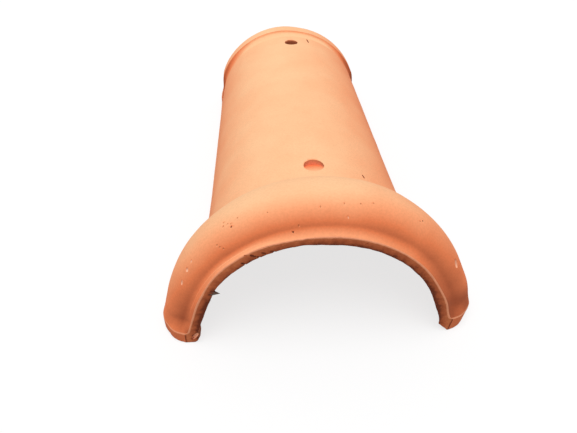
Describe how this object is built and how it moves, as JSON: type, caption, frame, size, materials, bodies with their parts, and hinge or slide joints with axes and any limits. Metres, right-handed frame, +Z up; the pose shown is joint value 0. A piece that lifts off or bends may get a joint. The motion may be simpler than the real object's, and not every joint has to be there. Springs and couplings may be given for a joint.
{
  "type": "clay roof ridge tile",
  "caption": "Half-round fired clay ridge tile: tapered barrel, hollow bead collar that hooks over the next tile's raised rim, nail hole near the tail and long feet to bed it on.",
  "frame": {"origin": "centre of the tile's footprint, on the floor that its feet rest on", "axes": "+X across the ridge, +Y along the ridge from the collar to the tail, +Z up through the crown"},
  "size_m": [0.228, 0.4, 0.1183],
  "materials": {
    "fired_clay": "unglazed fired clay, matte, smooth where pressed and rough where trimmed"
  },
  "bodies": {
    "root": {"ridge_tile": "fired_clay"}
  },
  "joints": []
}
